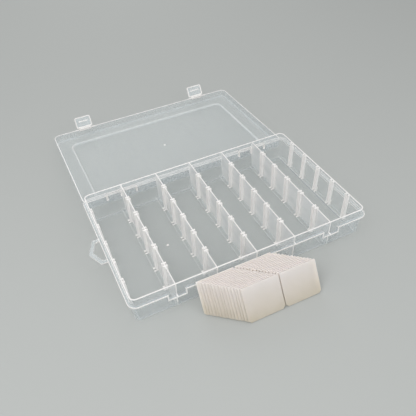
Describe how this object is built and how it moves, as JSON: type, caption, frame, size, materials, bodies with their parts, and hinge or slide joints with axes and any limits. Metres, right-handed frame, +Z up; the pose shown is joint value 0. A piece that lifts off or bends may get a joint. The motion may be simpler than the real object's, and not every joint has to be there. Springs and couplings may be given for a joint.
{
  "type": "embroidery thread box",
  "caption": "Clear compartment box with long lanes and rib slots, a hinged lid with snap latches, a hanging loop and loose dividers stacked in front.",
  "frame": {"origin": "centre of the tray's underside, on the table", "axes": "+X along the tray's long side to the right, +Y from the latch side to the hinge side, +Z up"},
  "size_m": [0.296, 0.4181, 0.0383],
  "materials": {
    "tray_pp": "injection moulded clear polypropylene, satin",
    "lid_pp": "injection moulded clear polypropylene, satin",
    "latch_pp": "injection moulded clear polypropylene, satin",
    "divider_pp": "injection moulded natural polypropylene, matt"
  },
  "bodies": {
    "tray": {"tray": "tray_pp"},
    "lid": {"lid": "lid_pp"},
    "latch_left": {"latch_left": "latch_pp"},
    "latch_right": {"latch_right": "latch_pp"},
    "divider_01": {"divider_01": "divider_pp"},
    "divider_02": {"divider_02": "divider_pp"},
    "divider_03": {"divider_03": "divider_pp"},
    "divider_04": {"divider_04": "divider_pp"},
    "divider_05": {"divider_05": "divider_pp"},
    "divider_06": {"divider_06": "divider_pp"},
    "divider_07": {"divider_07": "divider_pp"},
    "divider_08": {"divider_08": "divider_pp"},
    "divider_09": {"divider_09": "divider_pp"},
    "divider_10": {"divider_10": "divider_pp"},
    "divider_11": {"divider_11": "divider_pp"},
    "divider_12": {"divider_12": "divider_pp"},
    "divider_13": {"divider_13": "divider_pp"},
    "divider_14": {"divider_14": "divider_pp"},
    "divider_15": {"divider_15": "divider_pp"},
    "divider_16": {"divider_16": "divider_pp"},
    "divider_17": {"divider_17": "divider_pp"},
    "divider_18": {"divider_18": "divider_pp"},
    "divider_19": {"divider_19": "divider_pp"},
    "divider_20": {"divider_20": "divider_pp"},
    "divider_21": {"divider_21": "divider_pp"},
    "divider_22": {"divider_22": "divider_pp"},
    "divider_23": {"divider_23": "divider_pp"},
    "divider_24": {"divider_24": "divider_pp"},
    "divider_25": {"divider_25": "divider_pp"},
    "divider_26": {"divider_26": "divider_pp"},
    "divider_27": {"divider_27": "divider_pp"},
    "divider_28": {"divider_28": "divider_pp"},
    "divider_29": {"divider_29": "divider_pp"},
    "divider_30": {"divider_30": "divider_pp"}
  },
  "joints": [
    {"name": "lid_hinge", "type": "hinge", "parent": "tray", "child": "lid", "pos_m": [0, 0.0897, 0.0273], "axis": [1, 0, 0], "range_deg": [0, 182.4]},
    {"name": "latch_left_hinge", "type": "hinge", "parent": "lid", "child": "latch_left", "pos_m": [-0.09113, 0.26889, 0.01619], "axis": [-1, 0, 0], "range_deg": [-26, 90]},
    {"name": "latch_right_hinge", "type": "hinge", "parent": "lid", "child": "latch_right", "pos_m": [0.09113, 0.26889, 0.01619], "axis": [-1, 0, 0], "range_deg": [-26, 90]},
    {"name": "divider_01_lift", "type": "slide", "parent": "tray", "child": "divider_01", "axis": [0, 0.4695, 0.8829], "range_m": [0, 0.05]},
    {"name": "divider_02_lift", "type": "slide", "parent": "tray", "child": "divider_02", "axis": [0, 0.4695, 0.8829], "range_m": [0, 0.05]},
    {"name": "divider_03_lift", "type": "slide", "parent": "tray", "child": "divider_03", "axis": [0, 0.4695, 0.8829], "range_m": [0, 0.05]},
    {"name": "divider_04_lift", "type": "slide", "parent": "tray", "child": "divider_04", "axis": [0, 0.4695, 0.8829], "range_m": [0, 0.05]},
    {"name": "divider_05_lift", "type": "slide", "parent": "tray", "child": "divider_05", "axis": [0, 0.4695, 0.8829], "range_m": [0, 0.05]},
    {"name": "divider_06_lift", "type": "slide", "parent": "tray", "child": "divider_06", "axis": [0, 0.4695, 0.8829], "range_m": [0, 0.05]},
    {"name": "divider_07_lift", "type": "slide", "parent": "tray", "child": "divider_07", "axis": [0, 0.4695, 0.8829], "range_m": [0, 0.05]},
    {"name": "divider_08_lift", "type": "slide", "parent": "tray", "child": "divider_08", "axis": [0, 0.4695, 0.8829], "range_m": [0, 0.05]},
    {"name": "divider_09_lift", "type": "slide", "parent": "tray", "child": "divider_09", "axis": [0, 0.4695, 0.8829], "range_m": [0, 0.05]},
    {"name": "divider_10_lift", "type": "slide", "parent": "tray", "child": "divider_10", "axis": [0, 0.4695, 0.8829], "range_m": [0, 0.05]},
    {"name": "divider_11_lift", "type": "slide", "parent": "tray", "child": "divider_11", "axis": [0, 0.4695, 0.8829], "range_m": [0, 0.05]},
    {"name": "divider_12_lift", "type": "slide", "parent": "tray", "child": "divider_12", "axis": [0, 0.4695, 0.8829], "range_m": [0, 0.05]},
    {"name": "divider_13_lift", "type": "slide", "parent": "tray", "child": "divider_13", "axis": [0, 0.4695, 0.8829], "range_m": [0, 0.05]},
    {"name": "divider_14_lift", "type": "slide", "parent": "tray", "child": "divider_14", "axis": [0, 0.4695, 0.8829], "range_m": [0, 0.05]},
    {"name": "divider_15_lift", "type": "slide", "parent": "tray", "child": "divider_15", "axis": [0, 0.4695, 0.8829], "range_m": [0, 0.05]},
    {"name": "divider_16_lift", "type": "slide", "parent": "tray", "child": "divider_16", "axis": [0, 0.4695, 0.8829], "range_m": [0, 0.05]},
    {"name": "divider_17_lift", "type": "slide", "parent": "tray", "child": "divider_17", "axis": [0, 0.4695, 0.8829], "range_m": [0, 0.05]},
    {"name": "divider_18_lift", "type": "slide", "parent": "tray", "child": "divider_18", "axis": [0, 0.4695, 0.8829], "range_m": [0, 0.05]},
    {"name": "divider_19_lift", "type": "slide", "parent": "tray", "child": "divider_19", "axis": [0, 0.4695, 0.8829], "range_m": [0, 0.05]},
    {"name": "divider_20_lift", "type": "slide", "parent": "tray", "child": "divider_20", "axis": [0, 0.4695, 0.8829], "range_m": [0, 0.05]},
    {"name": "divider_21_lift", "type": "slide", "parent": "tray", "child": "divider_21", "axis": [0, 0.4695, 0.8829], "range_m": [0, 0.05]},
    {"name": "divider_22_lift", "type": "slide", "parent": "tray", "child": "divider_22", "axis": [0, 0.4695, 0.8829], "range_m": [0, 0.05]},
    {"name": "divider_23_lift", "type": "slide", "parent": "tray", "child": "divider_23", "axis": [0, 0.4695, 0.8829], "range_m": [0, 0.05]},
    {"name": "divider_24_lift", "type": "slide", "parent": "tray", "child": "divider_24", "axis": [0, 0.4695, 0.8829], "range_m": [0, 0.05]},
    {"name": "divider_25_lift", "type": "slide", "parent": "tray", "child": "divider_25", "axis": [0, 0.4695, 0.8829], "range_m": [0, 0.05]},
    {"name": "divider_26_lift", "type": "slide", "parent": "tray", "child": "divider_26", "axis": [0, 0.4695, 0.8829], "range_m": [0, 0.05]},
    {"name": "divider_27_lift", "type": "slide", "parent": "tray", "child": "divider_27", "axis": [0, 0.4695, 0.8829], "range_m": [0, 0.05]},
    {"name": "divider_28_lift", "type": "slide", "parent": "tray", "child": "divider_28", "axis": [0, 0.4695, 0.8829], "range_m": [0, 0.05]},
    {"name": "divider_29_lift", "type": "slide", "parent": "tray", "child": "divider_29", "axis": [0, 0.4695, 0.8829], "range_m": [0, 0.05]},
    {"name": "divider_30_lift", "type": "slide", "parent": "tray", "child": "divider_30", "axis": [0, 0.4695, 0.8829], "range_m": [0, 0.05]}
  ]
}
